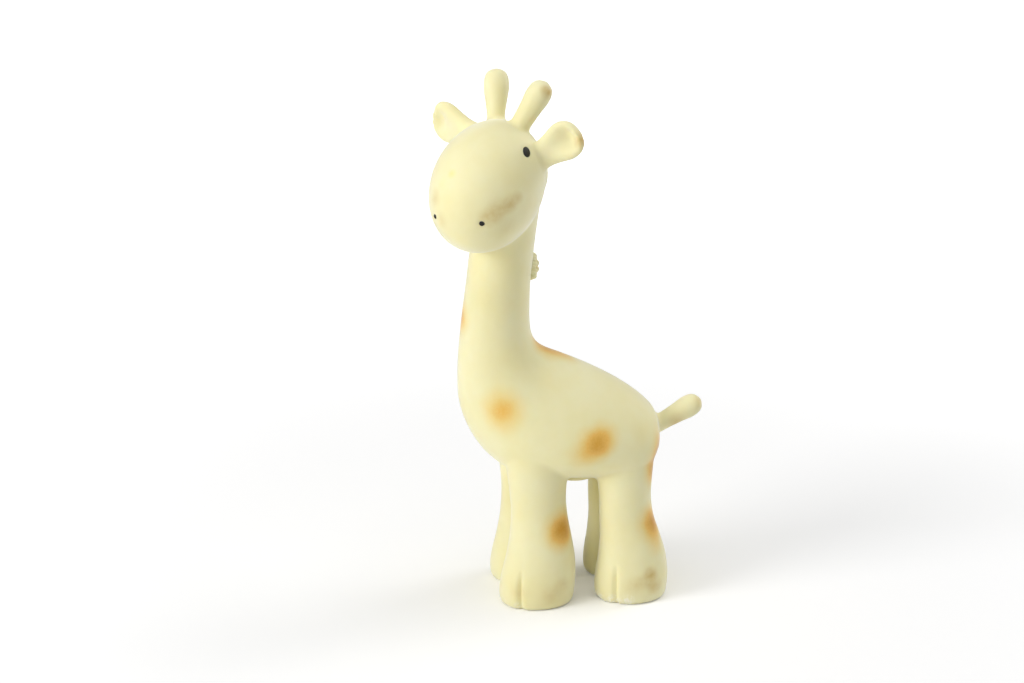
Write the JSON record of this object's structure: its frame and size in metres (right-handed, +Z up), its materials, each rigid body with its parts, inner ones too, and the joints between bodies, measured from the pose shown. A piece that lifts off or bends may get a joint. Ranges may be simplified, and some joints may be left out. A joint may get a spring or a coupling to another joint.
{
  "type": "rubber bath toy",
  "caption": "Standing giraffe bath toy: a hollow natural-rubber skin with a long neck, turned egg-shaped head, horns, cupped ears and a tail, and a loose ball rattle sealed inside.",
  "frame": {"origin": "Under the middle of the whole toy's bounding box, on the plane of the four soles.", "axes": "+Z points up. The body faces -Y, with the chest in front and the tail at +Y. +X is the giraffe's left side, towards which the head is turned."},
  "size_m": [0.0448, 0.0826, 0.1577],
  "materials": {
    "natural_rubber": "matt cream latex with soft airbrushed orange-brown spots",
    "plug_rubber": "matt cream rubber, a little darker than the skin",
    "capsule_plastic": "smooth off-white polypropylene",
    "bead_steel": "smooth tumbled steel balls",
    "black_paint": "semi-gloss black toy paint"
  },
  "bodies": {
    "moulding": {"body_moulding": "natural_rubber", "belly_plug": "plug_rubber", "eye_left": "black_paint", "nostril_left": "black_paint", "eye_right": "black_paint", "nostril_right": "black_paint"},
    "rattle_capsule": {"rattle_capsule_lower": "capsule_plastic", "rattle_capsule_upper": "capsule_plastic"},
    "bead_1": {"rattle_bead_1": "bead_steel"},
    "bead_2": {"rattle_bead_2": "bead_steel"},
    "bead_3": {"rattle_bead_3": "bead_steel"},
    "bead_4": {"rattle_bead_4": "bead_steel"},
    "bead_5": {"rattle_bead_5": "bead_steel"}
  },
  "joints": [
    {"name": "rattle_slide", "type": "slide", "parent": "moulding", "child": "rattle_capsule", "axis": [0, 1, 0], "range_m": [-0.0145, 0.0125]},
    {"name": "bead_1_roll", "type": "hinge", "parent": "rattle_capsule", "child": "bead_1", "pos_m": [-0.00066, 0.00254, 0.0504], "axis": [1, 0, 0], "continuous": true},
    {"name": "bead_2_roll", "type": "hinge", "parent": "rattle_capsule", "child": "bead_2", "pos_m": [-0.00066, 0.00254, 0.0504], "axis": [1, 0, 0], "continuous": true},
    {"name": "bead_3_roll", "type": "hinge", "parent": "rattle_capsule", "child": "bead_3", "pos_m": [-0.00066, 0.00254, 0.0504], "axis": [1, 0, 0], "continuous": true},
    {"name": "bead_4_roll", "type": "hinge", "parent": "rattle_capsule", "child": "bead_4", "pos_m": [-0.00066, 0.00254, 0.0504], "axis": [1, 0, 0], "continuous": true},
    {"name": "bead_5_roll", "type": "hinge", "parent": "rattle_capsule", "child": "bead_5", "pos_m": [-0.00066, 0.00254, 0.0504], "axis": [1, 0, 0], "continuous": true}
  ]
}
